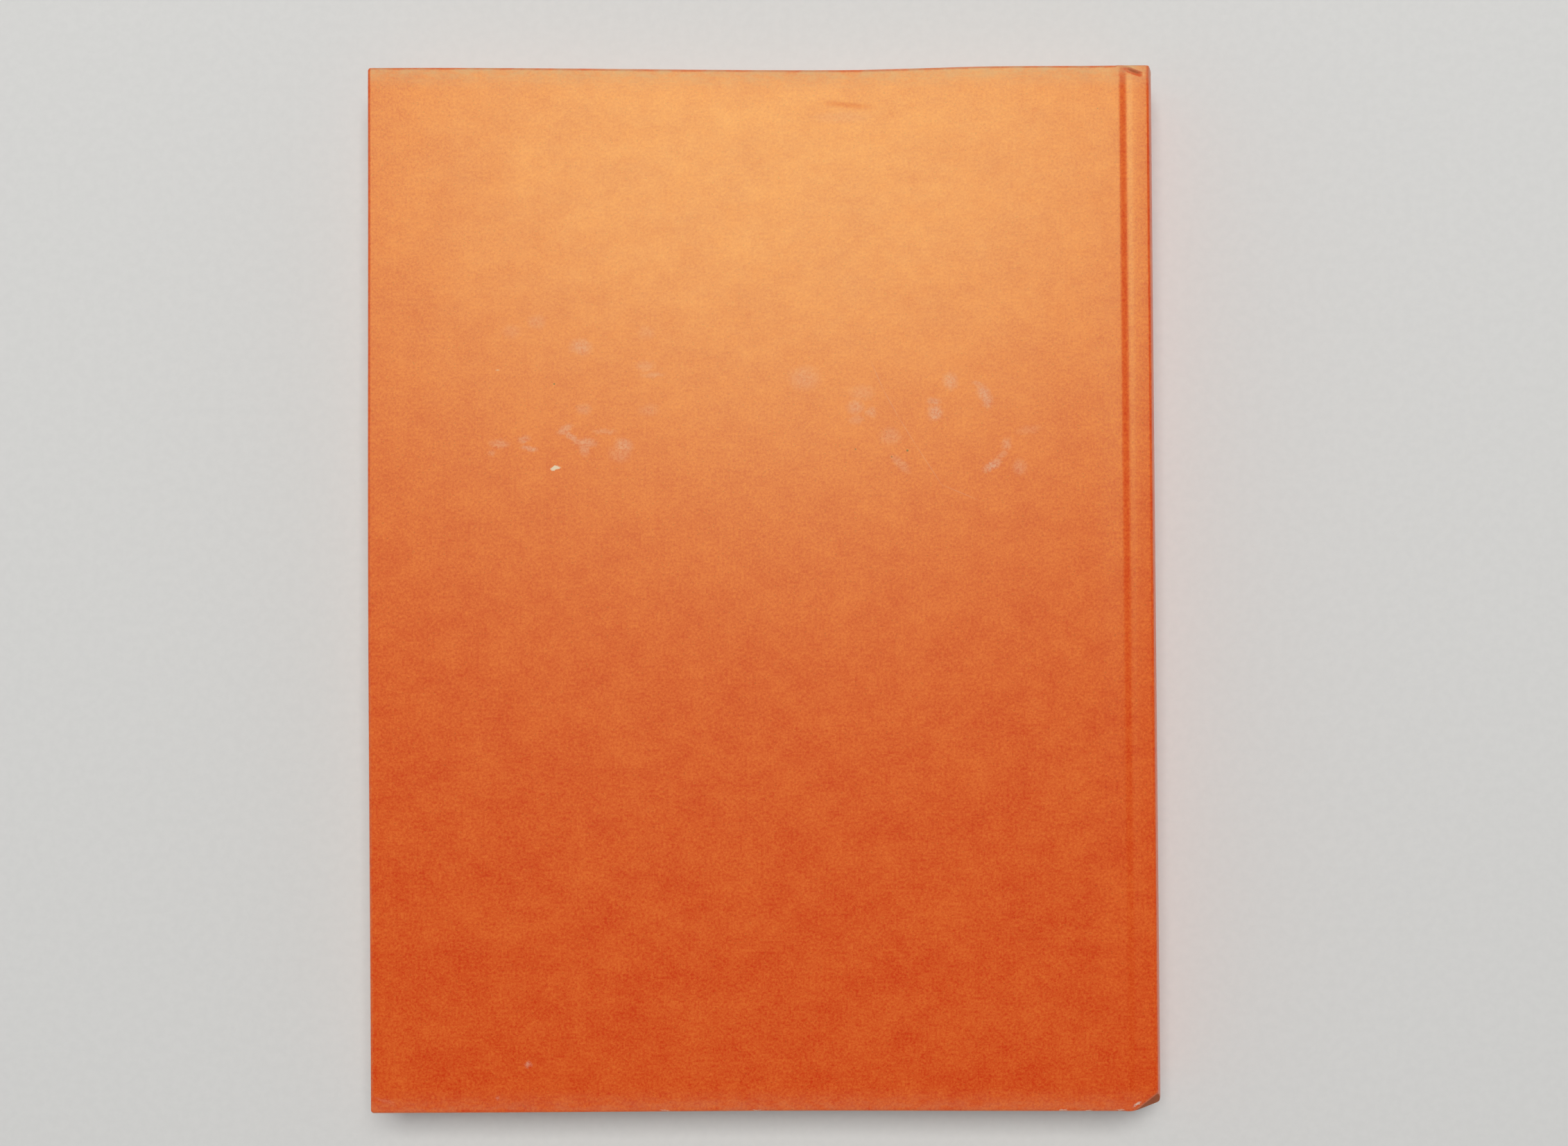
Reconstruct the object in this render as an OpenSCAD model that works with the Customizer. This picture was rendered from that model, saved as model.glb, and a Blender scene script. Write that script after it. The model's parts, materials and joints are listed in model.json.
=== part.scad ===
// Hardcover cookbook with a rounded and backed text block in a paper-covered case.
// It lies on its front cover with its back cover up. +X points to the spine, +Y to the head and +Z up.
// The origin is on the ground, under the middle of the book.

/* [Leaves] */
// Width of a trimmed leaf, from the back fold to the fore-edge
page_w = 209.1; // [150:0.1:260]
// Height of a trimmed leaf
page_h = 279.4; // [200:0.2:340]
// Thickness of all the leaves pressed together
text_t = 17; // [14:0.5:40]
// How far the rounded back stands out past the two outer leaves
rounding = 2.2; // [1.4:0.1:3.2]

/* [Boards] */
// Thickness of a cover board
board_t = 2.5; // [2:0.1:4]
// How far the covers stand out past the leaves at head, tail and fore-edge
square_w = 3.6; // [2.8:0.1:6]
// Radius of a cover's corners, seen from above
corner_r = 0.9; // [0.6:0.1:4]

/* [Covering paper] */
// Thickness of the covering paper
cover_t = 0.3; // [0.2:0.05:0.4]
// Radius of the fold over a board's edge
fold_r = 0.7; // [0.5:0.1:1.2]
// Width of the paper turned in on the inside of the case
turn_in = 15; // [10:1:25]

/* [Endpapers] */
// Thickness of the endpaper
endpaper_t = 0.2; // [0.1:0.05:0.25]
// Thickness of the paste between an endpaper and the case
paste_t = 0.02; // [0.01:0.01:0.05]

/* [Joints] */
// Radius of the joint groove
groove_r = 1.6; // [1.3:0.1:2]
// Depth of the hinge line below the outer face of a cover
hinge_depth = 0.15; // [0.1:0.05:0.3]
// Distance from the hinge line to the back edges of the outer leaves
shoulder_w = 5.6; // [5:0.1:9]
// Distance from the hinge line to the foot of the shoulder
shoulder_foot = 1.2; // [0.8:0.1:1.5]
// Gap between the covering and the shoulder under it
shoulder_gap = 0.2; // [0.1:0.05:0.3]
// Gap between the shoulder and a cover opened flat over it
swing_gap = 0.15; // [0.15:0.05:0.4]
// Slit in the covering along the hinge line
joint_slit = 0.3; // [0.2:0.05:0.5]
// Radius of the ridge between the joint groove and the shoulder
ridge_r = 0.8; // [0.6:0.1:1]

/* [Spine] */
// Thickness of the glue between the back of the leaves and its linings
glue_t = 0.05; // [0.03:0.01:0.1]
// Radius of the edge where the shoulder turns down into the spine
spine_edge_r = 3.5; // [2.8:0.1:3.8]
// Thickness of the card that stiffens the spine
inlay_t = 1; // [0.6:0.1:1.4]
// Thickness of the hollow between the spine of the case and the lined back
hollow_t = 0.45; // [0.45:0.05:1.2]
// Thickness of the mull
mull_t = 0.2; // [0.1:0.05:0.25]
// Width of each mull flap glued to a board
mull_flange_w = 25; // [15:1:35]
// Thickness of the paper strip over the mull
liner_t = 0.3; // [0.2:0.05:0.5]
// Distance from the shoulders to the edges of the linings and the headbands
lining_margin = 2.8; // [2.6:0.1:4]

/* [Headbands] */
// Radius of the headband's bead
bead_r = 0.8; // [0.5:0.1:1]
// Length of the headband's tape down the back
tape_h = 12; // [8:1:20]
// Gap between the linings and the tapes and turn-ins beside them
lining_gap = 0.5; // [0.3:0.1:2]

/* [Knocks] */
// Distance from the hinge line to the crushed corner at the tail of the spine
crush_start = 1.3; // [1:0.1:3]
// Direction of the crushed corner's edge, seen from above
crush_turn = 38; // [34:1:42]
// Slope of the crushed corner
crush_slope = 62; // [55:1:64]
// Depth of the crease across the head of the spine
crease_depth = 0.8; // [0.3:0.1:0.9]
// Radius of the crease's floor
crease_r = 0.9; // [0.6:0.1:1]
// Radius of the crease along its length
crease_bend = 6; // [5:0.5:9]
// Gap between the crease and the head of the leaves under it
crease_gap = 0.8; // [0.5:0.1:0.9]
// Direction of the crease, seen from above
crease_turn = -17; // [-20:1:0]

/* [Hidden] */
$fn = 180;
// How far a cutting shape runs past what it cuts
CUT = 1;

ORANGE = "#d9702f";
LEAF = "#efe8d8";
ENDPAPER = "#f2eee2";
GREYBOARD = "#9a9187";
KRAFT = "#b08d63";
GAUZE = "#dcd7c8";

// Heights
cover_stack = cover_t + board_t + cover_t;
thick = text_t + 2 * (cover_stack + 2 * endpaper_t);
mid_z = thick / 2;
inner_z = thick - cover_stack;
text_top = mid_z + text_t / 2;

// Joint grooves: half-round channels about the hinge lines
hinge_z = thick - hinge_depth;
strip_z = thick - 2 * hinge_depth - swing_gap;
shoulder_half = strip_z - cover_t - shoulder_gap - mid_z;
shoulder_clear_r = groove_r + cover_t + shoulder_gap;

// The back of the leaves is an arc, and every layer of the spine shares its centre
back_r = (pow(shoulder_half, 2) + pow(rounding, 2)) / (2 * rounding);
glue_r = back_r + glue_t;
mull_r = glue_r + mull_t;
liner_r = mull_r + liner_t;
inlay_r = liner_r + hollow_t;
spine_r = inlay_r + inlay_t + cover_t;
back_reach = back_r - rounding;

// Places along X
case_w = square_w + page_w + spine_r - back_reach;
fore_x = -case_w / 2;
outer_back_x = fore_x + square_w + page_w;
arc_x = outer_back_x - back_reach;
hinge_x = outer_back_x - shoulder_w;
board_end_x = hinge_x - groove_r - cover_t;
flange_x = board_end_x - mull_flange_w;
window_x = fore_x + turn_in;
shoulder_x = hinge_x + shoulder_foot;
cover_end_x = hinge_x - joint_slit / 2;
spine_start_x = hinge_x + joint_slit / 2;
spine_x = arc_x + spine_r;

// Places along Y
case_h = page_h + 2 * square_w;
window_y = case_h / 2 - turn_in;
mull_h = 2 * (min(page_h / 2 - tape_h, window_y) - lining_gap);
crease_y = page_h / 2 + crease_gap + cover_t + crease_r;

// Centres of the rims of a groove and of the spine's rounded edge
fold_z = thick - fold_r;
fold_x = hinge_x - sqrt(pow(groove_r + fold_r, 2) - pow(hinge_z - fold_z, 2));
ridge_z = strip_z - ridge_r;
ridge_x = hinge_x + sqrt(pow(groove_r + ridge_r, 2) - pow(hinge_z - ridge_z, 2));
edge_z = strip_z - spine_edge_r;
edge_x = arc_x + sqrt(pow(spine_r - spine_edge_r, 2) - pow(edge_z - mid_z, 2));
lining_half = shoulder_half - lining_margin;
inlay_half = edge_z - mid_z;

// Draws a section, given in X and Z, along the length of the book
module along_y(length) {
    rotate([90, 0, 0])
        linear_extrude(length, center = true) children();
}

// Draws a section, given in Y and Z, across the width of the book
module along_x(from, to) {
    translate([from, 0, 0])
        rotate([90, 0, 90])
            linear_extrude(to - from) children();
}

// Turns a piece of the back half over to the front half
module front_side() {
    translate([0, 0, thick])
        mirror([0, 0, 1]) children();
}

// A box between two corners
module block(low, high) {
    translate(low) cube(high - low);
}

// A rectangle between two corners
module span(low, high) {
    translate(low) square(high - low);
}

// A rectangle between two corners, with round corners
module round_span(low, high, r) {
    span([low.x + r, low.y], [high.x - r, high.y]);
    span([low.x, low.y + r], [high.x, high.y - r]);
    for (x = [low.x + r, high.x - r], y = [low.y + r, high.y - r])
        translate([x, y]) circle(r);
}

// A pie slice of a plane about a point, between two angles
module slice(centre, from, to, reach) {
    polygon([
        centre,
        centre + reach * [cos(from), sin(from)],
        centre + reach * [cos(to), sin(to)],
    ]);
}

// Rounds the children's corner inside a slice about the round's centre
module rounded(centre, r, from, to, reach) {
    difference() {
        children();
        slice(centre, from, to, reach);
    }
    intersection() {
        translate(centre) circle(r);
        slice(centre, from, to, reach);
    }
}

// A curved band of the spine between two radii, as high as the given half each way
module spine_band(inner_r, outer_r, half) {
    intersection() {
        translate([arc_x, mid_z])
            difference() {
                circle(outer_r);
                circle(inner_r);
            }
        span([arc_x, mid_z - half], [arc_x + outer_r, mid_z + half]);
    }
}

// Section of the leaves: concave fore-edge, rounded back and flared shoulders
module text_section() {
    difference() {
        union() {
            span([arc_x - page_w, mid_z - text_t / 2], [hinge_x + shoulder_w / 2, text_top]);
            intersection() {
                translate([arc_x, mid_z]) circle(back_r);
                span([shoulder_x, mid_z - shoulder_half], [spine_x, mid_z + shoulder_half]);
            }
        }
        translate([arc_x - page_w, mid_z]) circle(back_r);
        for (z = [hinge_z, thick - hinge_z])
            translate([hinge_x, z]) circle(shoulder_clear_r);
    }
}

// Section under the upper skin of the spine's covering, drawn in by an inset
module under_skin(inset) {
    to_groove = atan2(hinge_z - ridge_z, hinge_x - ridge_x);
    to_back = atan2(edge_z - mid_z, edge_x - arc_x);
    rounded([edge_x, edge_z], spine_edge_r - inset, to_back, 90, 3 * spine_edge_r)
        rounded([ridge_x, ridge_z], ridge_r - inset, 90, to_groove, 3 * ridge_r)
            difference() {
                intersection() {
                    span([spine_start_x, -thick], [spine_x, strip_z - inset]);
                    translate([arc_x, mid_z]) circle(spine_r - inset);
                }
                translate([hinge_x, hinge_z]) circle(groove_r + inset);
            }
}

// Whole section of the spine inside the given inset
module spine_section(inset) {
    intersection() {
        under_skin(inset);
        translate([0, thick]) mirror([0, 1]) under_skin(inset);
    }
}

// The space that a knock took from the spine's tail, seen from an inset surface
module tail_crush(inset) {
    reach = 2 * (spine_x - hinge_x);
    translate([hinge_x + crush_start, -case_h / 2, strip_z])
        rotate([0, 0, crush_turn])
            rotate([crush_slope, 0, 0])
                block([-reach, -reach, -inset], [reach, 0, reach]);
}

// The space that a crease took from the spine's head, seen from an inset surface
module head_crease(inset) {
    translate([(ridge_x + edge_x) / 2, crease_y, strip_z + crease_bend - crease_depth])
        rotate([90, 0, crease_turn])
            rotate_extrude() {
                translate([crease_bend - crease_r, 0]) circle(crease_r + inset);
                span([0, -crease_r - inset], [crease_bend - crease_r, crease_r + inset]);
            }
}

// Body of the spine's covering, drawn in by an inset, with its knocks
module spine_form(inset, length) {
    difference() {
        along_y(length) spine_section(inset);
        tail_crush(inset);
        head_crease(inset);
    }
}

// Section of a covered board and its half of the groove, drawn in by an inset
module cover_section(inset) {
    to_groove = atan2(hinge_z - fold_z, hinge_x - fold_x);
    low = [fore_x + inset, inner_z + inset];
    top = thick - inset;
    rounded([fold_x, fold_z], fold_r - inset, to_groove, 90, 3 * fold_r)
        difference() {
            union() {
                round_span(low, [fore_x + 2 * turn_in, top], fold_r - inset);
                span([fore_x + turn_in, low.y], [cover_end_x, top]);
            }
            translate([hinge_x, hinge_z]) circle(groove_r + inset);
        }
}

// Block of a covered board, drawn in by an inset, with its edges rounded
module cover_form(inset) {
    low = [fore_x + inset, -case_h / 2 + inset, inner_z + inset];
    high = [hinge_x + turn_in, case_h / 2 - inset, thick - inset];
    intersection() {
        along_y(case_h) cover_section(inset);
        along_x(low.x, high.x)
            round_span([low.y, low.z], [high.y, high.z], fold_r - inset);
        translate([0, 0, low.z])
            linear_extrude(high.z - low.z)
                round_span([low.x, low.y], [high.x, high.y], corner_r - inset);
    }
}

module text_block() {
    color(LEAF) along_y(page_h) text_section();
}

module mull() {
    color(GAUZE) along_y(mull_h) spine_band(glue_r, mull_r, lining_half);
}

module spine_liner() {
    color(KRAFT) along_y(mull_h) spine_band(mull_r, liner_r, lining_half);
}

module tail_headband() {
    half_angle = asin(lining_half / back_r);
    bead_x = mull_r - bead_r;
    color(ORANGE)
        translate([arc_x, 0, mid_z])
            rotate([90, half_angle, 0])
                rotate_extrude(angle = 2 * half_angle) {
                    span([glue_r, page_h / 2 - tape_h], [mull_r, page_h / 2 + bead_r / 2]);
                    intersection() {
                        translate([bead_x, page_h / 2 + bead_r / 2]) circle(bead_r);
                        span([0, page_h / 2], [mull_r, page_h]);
                    }
                }
}

module head_headband() {
    mirror([0, 1, 0]) tail_headband();
}

module back_flyleaf() {
    fore = arc_x - page_w + sqrt(pow(back_r, 2) - pow(text_t / 2, 2));
    color(ENDPAPER)
        along_y(page_h) {
            span([fore, text_top], [shoulder_x, text_top + endpaper_t]);
            span([spine_start_x, text_top], [shoulder_x, inner_z]);
        }
}

module front_flyleaf() {
    front_side() back_flyleaf();
}

module spine_inlay() {
    color(GREYBOARD)
        difference() {
            along_y(case_h - 2 * cover_t)
                spine_band(inlay_r, inlay_r + inlay_t, inlay_half);
            tail_crush(cover_t);
        }
}

module spine_cover_paper() {
    turned_r = inlay_r - cover_t;
    color(ORANGE) {
        difference() {
            spine_form(0, case_h);
            spine_form(cover_t, case_h + CUT);
        }
        difference() {
            for (end = [0, 1])
                mirror([0, end, 0])
                    difference() {
                        translate([0, (case_h - turn_in) / 2, 0])
                            along_y(turn_in)
                                spine_band(turned_r, spine_r - cover_t / 2, inlay_half);
                        translate([0, case_h / 2 - cover_t - turn_in, 0])
                            along_y(2 * turn_in)
                                spine_band(inlay_r, inlay_r + inlay_t, inlay_half);
                    }
            tail_crush(0);
        }
    }
}

module back_board() {
    color(GREYBOARD)
        difference() {
            cover_form(cover_t);
            block([board_end_x, -case_h, inner_z], [hinge_x, case_h, thick]);
        }
}

module front_board() {
    front_side() back_board();
}

module back_cover_paper() {
    color(ORANGE)
        difference() {
            cover_form(0);
            cover_form(cover_t);
            block([window_x, -window_y, inner_z - CUT], [hinge_x, window_y, inner_z + cover_t]);
        }
}

module front_cover_paper() {
    front_side() back_cover_paper();
}

// The endpaper is pressed down on the board between the turn-ins, and lies over the mull
module back_pastedown() {
    low_z = inner_z - endpaper_t;
    under_board = inner_z + cover_t - paste_t;
    under_mull = under_board - mull_t;
    in_x = window_x + paste_t;
    in_y = window_y - paste_t;
    by_mull = [flange_x - paste_t, mull_h / 2 + paste_t];
    color(ENDPAPER)
        difference() {
            union() {
                block(
                    [fore_x + square_w, -page_h / 2, low_z],
                    [cover_end_x, page_h / 2, inner_z - paste_t]
                );
                block([in_x, -in_y, low_z], [board_end_x, in_y, under_board]);
            }
            block(
                [in_x + endpaper_t, -in_y + endpaper_t, low_z - CUT],
                [by_mull.x - endpaper_t, in_y - endpaper_t, under_board - endpaper_t]
            );
            block(
                [by_mull.x - 2 * endpaper_t, -mull_h / 2, low_z - CUT],
                [board_end_x - endpaper_t, mull_h / 2, under_mull - endpaper_t]
            );
            block([by_mull.x, -by_mull.y, under_mull], [hinge_x, by_mull.y, thick]);
        }
}

module front_pastedown() {
    front_side() back_pastedown();
}

module back_mull_flange() {
    under_board = inner_z + cover_t;
    color(GAUZE)
        block([flange_x, -mull_h / 2, under_board - mull_t], [board_end_x, mull_h / 2, under_board]);
}

module front_mull_flange() {
    front_side() back_mull_flange();
}

text_block();
mull();
spine_liner();
head_headband();
tail_headband();
front_flyleaf();
back_flyleaf();
spine_inlay();
spine_cover_paper();
front_board();
front_cover_paper();
front_pastedown();
front_mull_flange();
back_board();
back_cover_paper();
back_pastedown();
back_mull_flange();
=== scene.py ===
import json
import math

import bmesh
import bpy
import numpy as np
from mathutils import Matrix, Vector


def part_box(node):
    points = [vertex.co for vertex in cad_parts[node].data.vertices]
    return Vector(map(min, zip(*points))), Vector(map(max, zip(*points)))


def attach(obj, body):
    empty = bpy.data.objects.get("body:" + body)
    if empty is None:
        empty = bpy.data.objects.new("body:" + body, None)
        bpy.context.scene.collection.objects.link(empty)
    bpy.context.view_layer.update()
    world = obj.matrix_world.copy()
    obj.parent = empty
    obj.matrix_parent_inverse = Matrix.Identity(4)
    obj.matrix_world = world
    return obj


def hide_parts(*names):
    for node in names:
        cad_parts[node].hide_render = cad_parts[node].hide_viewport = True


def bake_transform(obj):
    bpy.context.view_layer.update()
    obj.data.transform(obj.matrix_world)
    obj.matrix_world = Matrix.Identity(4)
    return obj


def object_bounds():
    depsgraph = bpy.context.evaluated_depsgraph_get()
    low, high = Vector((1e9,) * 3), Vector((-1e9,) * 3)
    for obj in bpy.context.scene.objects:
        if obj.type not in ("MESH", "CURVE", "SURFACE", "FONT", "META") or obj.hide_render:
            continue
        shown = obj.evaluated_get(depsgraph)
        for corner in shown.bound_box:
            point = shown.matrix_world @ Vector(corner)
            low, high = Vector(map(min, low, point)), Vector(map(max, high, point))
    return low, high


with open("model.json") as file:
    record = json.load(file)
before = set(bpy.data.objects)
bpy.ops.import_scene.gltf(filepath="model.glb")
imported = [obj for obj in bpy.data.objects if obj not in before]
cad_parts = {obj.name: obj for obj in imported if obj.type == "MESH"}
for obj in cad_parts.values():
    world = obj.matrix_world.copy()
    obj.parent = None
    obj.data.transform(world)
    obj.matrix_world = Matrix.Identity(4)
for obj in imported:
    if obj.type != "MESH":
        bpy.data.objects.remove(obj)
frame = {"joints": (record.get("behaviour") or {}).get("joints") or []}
cad_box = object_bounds()


# Leaves: 120 sheets of off-white paper, sewn in gatherings of eight, then rounded and backed.
# Each leaf is a sheet of its own, trimmed with the rest but never quite flush with its neighbours.
# The outer leaves flare over the shoulders, and the back leans out a little towards the tail.
MM = 0.001
LEAF_COUNT = 120
GATHERING = 8
LEAF_FILL = 0.86
TRIM_JITTER = 0.05 * MM
FLARE_START = 99.6 * MM
FLARE_END = 102.0 * MM
FLARE_STEPS = 7
ROUNDING = 2.2 * MM
SPINE_LEAN = 0.9 * MM
TOOTH = 0.02 * MM

leaves_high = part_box("text_block")[1]
flyleaf_low, flyleaf_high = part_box("back_flyleaf")
mid_z = (cad_box[0].z + cad_box[1].z) / 2
half_head = leaves_high.y
body_half = flyleaf_low.z - mid_z
shoulder_half = leaves_high.z - mid_z
back_r = (shoulder_half ** 2 + ROUNDING ** 2) / (2 * ROUNDING)
arc_x = leaves_high.x - back_r
fore_arc_x = flyleaf_low.x - math.sqrt(back_r ** 2 - body_half ** 2)
chance = np.random.default_rng(11)


def smooth_step(start, end, value):
    """0 before start, 1 after end and an even S between them."""
    share = np.clip((value - start) / (end - start), 0, 1)
    return share * share * (3 - 2 * share)


def lean(y):
    """How far the spine stands out at a height of the book, against its middle."""
    return -SPINE_LEAN * y / half_head


def add_piece(name, bm, material, smooth=True):
    """Turns a bmesh into an object at the origin, with one material."""
    mesh = bpy.data.meshes.new(name)
    bm.to_mesh(mesh)
    bm.free()
    mesh.polygons.foreach_set("use_smooth", [smooth] * len(mesh.polygons))
    mesh.materials.append(material)
    piece = bpy.data.objects.new(name, mesh)
    bpy.context.scene.collection.objects.link(piece)
    return piece


def add_thickness(piece, thickness, offset):
    """Gives a sheet its thickness, with the rims closed."""
    wall = piece.modifiers.new("thickness", "SOLIDIFY")
    wall.thickness = thickness
    wall.offset = offset


def grid_sheet(bm, place, note=None):
    """Adds a grid of the shape of place, a table of points by column and row, and moves its points there.
    Where note is given, it is called with each point, its column and its row."""
    columns, rows = place.shape[:2]
    made = bmesh.ops.create_grid(bm, x_segments=columns - 1, y_segments=rows - 1, size=0.5)["verts"]
    for vert in made:
        column = round((vert.co.x + 0.5) * (columns - 1))
        row = round((vert.co.y + 0.5) * (rows - 1))
        vert.co = place[column, row]
        if note:
            note(vert, column, row)
    return made


def new_material(name, **constants):
    """A material with a Principled shader whose constants are set on its own sockets."""
    material = bpy.data.materials.new(name)
    material.use_nodes = True
    shader = material.node_tree.nodes["Principled BSDF"]
    for socket, value in constants.items():
        shader.inputs[socket.replace("_", " ")].default_value = value
    return material, material.node_tree, shader


def add_node(tree, kind, inputs=None, **settings):
    """Adds a shader node, sets it up, and links or fills its inputs."""
    made = tree.nodes.new("ShaderNode" + kind)
    for setting, value in settings.items():
        setattr(made, setting, value)
    for socket, value in (inputs or {}).items():
        if isinstance(value, bpy.types.NodeSocket):
            tree.links.new(value, made.inputs[socket])
        else:
            made.inputs[socket].default_value = value
    return made


def stretched(tree, coordinates, scale):
    """Coordinates scaled apart along each axis."""
    return add_node(tree, "Mapping", {"Vector": coordinates, "Scale": scale}).outputs["Vector"]


def fractal(tree, coordinates, scale, detail=4.0, roughness=0.6):
    """Soft clouds whose largest lumps are one part in scale of a metre."""
    inputs = {"Vector": coordinates, "Scale": scale, "Detail": detail, "Roughness": roughness}
    return add_node(tree, "TexNoise", inputs).outputs["Fac"]


def math_node(tree, operation, first, second=0.0, third=0.0):
    """One step of arithmetic on sockets or numbers."""
    return add_node(tree, "Math", {0: first, 1: second, 2: third}, operation=operation).outputs["Value"]


def map_range(tree, value, start, end, low=0.0, high=1.0):
    """Spreads a stretch of values smoothly over another."""
    inputs = {"Value": value, "From Min": start, "From Max": end, "To Min": low, "To Max": high}
    return add_node(tree, "MapRange", inputs, interpolation_type="SMOOTHSTEP").outputs["Result"]


def between(tree, share, first, second):
    """A colour part of the way from the first to the second."""
    made = add_node(tree, "Mix", data_type="RGBA")
    for identifier, value in {"Factor_Float": share, "A_Color": first, "B_Color": second}.items():
        socket = next(s for s in made.inputs if s.identifier == identifier)
        if isinstance(value, bpy.types.NodeSocket):
            tree.links.new(value, socket)
        else:
            socket.default_value = value
    return next(s for s in made.outputs if s.identifier == "Result_Color")


def add_bump(tree, shader, height, distance, strength=1.0):
    """Raises a shader's surface by a height between 0 and 1."""
    inputs = {"Height": height, "Distance": distance, "Strength": strength}
    tree.links.new(add_node(tree, "Bump", inputs).outputs["Normal"], shader.inputs["Normal"])


LEAF_PALE = (0.83, 0.78, 0.68, 1)
LEAF_TAN = (0.66, 0.58, 0.45, 1)
LEAF_STREAKS = (6, 6, 2600)
STREAK_SHARE, STAIN_SHARE = 0.8, 0.45
LEAF_TONES = (0.4, 0.9)
leaf_paper, tree, shader = new_material("leaf_paper", Roughness=0.75, Specular_IOR_Level=0.3)
coordinates = add_node(tree, "TexCoord").outputs["Object"]
by_leaf = fractal(tree, stretched(tree, coordinates, LEAF_STREAKS), scale=1, detail=3, roughness=0.7)
stain = fractal(tree, coordinates, scale=45, detail=5)
toned = math_node(tree, "MULTIPLY_ADD", by_leaf, STREAK_SHARE, math_node(tree, "MULTIPLY", stain, STAIN_SHARE))
tanned = between(tree, map_range(tree, toned, *LEAF_TONES), LEAF_PALE, LEAF_TAN)
tree.links.new(tanned, shader.inputs["Base Color"])
add_bump(tree, shader, fractal(tree, coordinates, scale=1800, detail=3), TOOTH)

bm = bmesh.new()
leaf_pitch = 2 * body_half / LEAF_COUNT
gathering_offset = chance.normal(0, TRIM_JITTER, LEAF_COUNT // GATHERING + 1)
for leaf in range(LEAF_COUNT):
    rise = -body_half + (leaf + 0.5) * leaf_pitch
    slip = gathering_offset[leaf // GATHERING] + chance.normal(0, TRIM_JITTER)
    head, tail = half_head + chance.normal(0, TRIM_JITTER, 2) - TRIM_JITTER
    back_rise = rise * shoulder_half / body_half
    back_x = arc_x + math.sqrt(back_r ** 2 - back_rise ** 2)
    fore_x = fore_arc_x + math.sqrt(back_r ** 2 - rise ** 2) + slip
    along = np.concatenate([[fore_x, 0.0], np.linspace(FLARE_START, FLARE_END, FLARE_STEPS), [back_x]])
    lift = rise + (back_rise - rise) * smooth_step(FLARE_START, FLARE_END, along)
    place = np.zeros((len(along), 2, 3))
    for row, y in enumerate((-tail, head)):
        place[:, row, 0] = along + lean(y) * smooth_step(FLARE_START, FLARE_END, along)
        place[:, row, 1] = y
        place[:, row, 2] = mid_z + lift
    grid_sheet(bm, place)
leaves = add_piece("leaves", bm, leaf_paper, smooth=False)
add_thickness(leaves, leaf_pitch * LEAF_FILL, 0)
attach(leaves, "pages")
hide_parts("text_block")


# Linings: open cotton gauze and a strip of brown kraft paper, glued over the rounded back.
# Both are curved to the back, stop short of the headbands and are seen only down the hollow spine.
LINING_ROWS = 12
LINING_COLUMNS = 18
GAUZE_THREADS = 350
THREAD_RELIEF = 0.1 * MM
KRAFT_RELIEF = 0.05 * MM


def lining(name, node_name, material):
    """A curved strip with the form of a lining, leaning with the spine."""
    low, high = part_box(node_name)
    outer_r = high.x - arc_x
    inner_r = math.hypot(low.x - arc_x, high.z - mid_z)
    middle_r = (outer_r + inner_r) / 2
    half_angle = math.asin((high.z - mid_z) / outer_r)
    angles = np.linspace(-half_angle, half_angle, LINING_COLUMNS)
    places_y = np.linspace(high.y, low.y, LINING_ROWS)
    place = np.zeros((LINING_COLUMNS, LINING_ROWS, 3))
    place[..., 0] = arc_x + middle_r * np.cos(angles)[:, None] + lean(places_y)
    place[..., 1] = places_y
    place[..., 2] = mid_z + middle_r * np.sin(angles)[:, None]
    bm = bmesh.new()
    grid_sheet(bm, place)
    piece = add_piece(name, bm, material)
    add_thickness(piece, outer_r - inner_r, 0)
    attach(piece, "pages")
    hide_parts(node_name)
    return piece


GAUZE_PALE = (0.78, 0.75, 0.66, 1)
GAUZE_DEEP = (0.45, 0.42, 0.34, 1)
gauze, tree, shader = new_material("gauze", Roughness=0.9)
coordinates = add_node(tree, "TexCoord").outputs["Object"]
threads = [
    add_node(tree, "TexWave", {"Vector": coordinates, "Scale": GAUZE_THREADS, "Distortion": 1.5, "Detail": 1.0},
             bands_direction=direction).outputs["Fac"]
    for direction in ("Y", "Z")
]
weave = math_node(tree, "MAXIMUM", *threads)
tree.links.new(between(tree, weave, GAUZE_DEEP, GAUZE_PALE), shader.inputs["Base Color"])
add_bump(tree, shader, weave, THREAD_RELIEF)

KRAFT_PALE = (0.50, 0.33, 0.18, 1)
KRAFT_DEEP = (0.33, 0.20, 0.10, 1)
KRAFT_STREAKS = (300, 40, 900)
KRAFT_TONES = (0.3, 0.7)
kraft, tree, shader = new_material("kraft_paper", Roughness=0.8)
coordinates = add_node(tree, "TexCoord").outputs["Object"]
streaks = fractal(tree, stretched(tree, coordinates, KRAFT_STREAKS), scale=1, detail=5, roughness=0.7)
browned = between(tree, map_range(tree, streaks, *KRAFT_TONES), KRAFT_DEEP, KRAFT_PALE)
tree.links.new(browned, shader.inputs["Base Color"])
add_bump(tree, shader, streaks, KRAFT_RELIEF)

lining("gauze_lining", "mull", gauze)
lining("kraft_lining", "spine_liner", kraft)


# Headbands: a cotton band with a striped bead, machine-woven and glued to the head and tail of the back.
# The bead is a cord wound with thread, two turns of one colour and then two of the other.
BEAD_R = 0.72 * MM
THREAD_PITCH = 0.42 * MM
THREAD_BULGE = 0.09 * MM
BEAD_SIDES = 14
STEPS_PER_THREAD = 6
THREAD_SLANT = 0.6
FIBRE_RELIEF = 0.03 * MM
TAPE_COLUMNS = 12
MERGE = 0.001 * MM
THREAD_CREAM = (0.80, 0.72, 0.55, 1)
THREAD_ORANGE = (0.62, 0.17, 0.04, 1)
STRIPE_TURNS = 2.0
STRIPE_EDGE = (0.9, 1.1)

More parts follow.
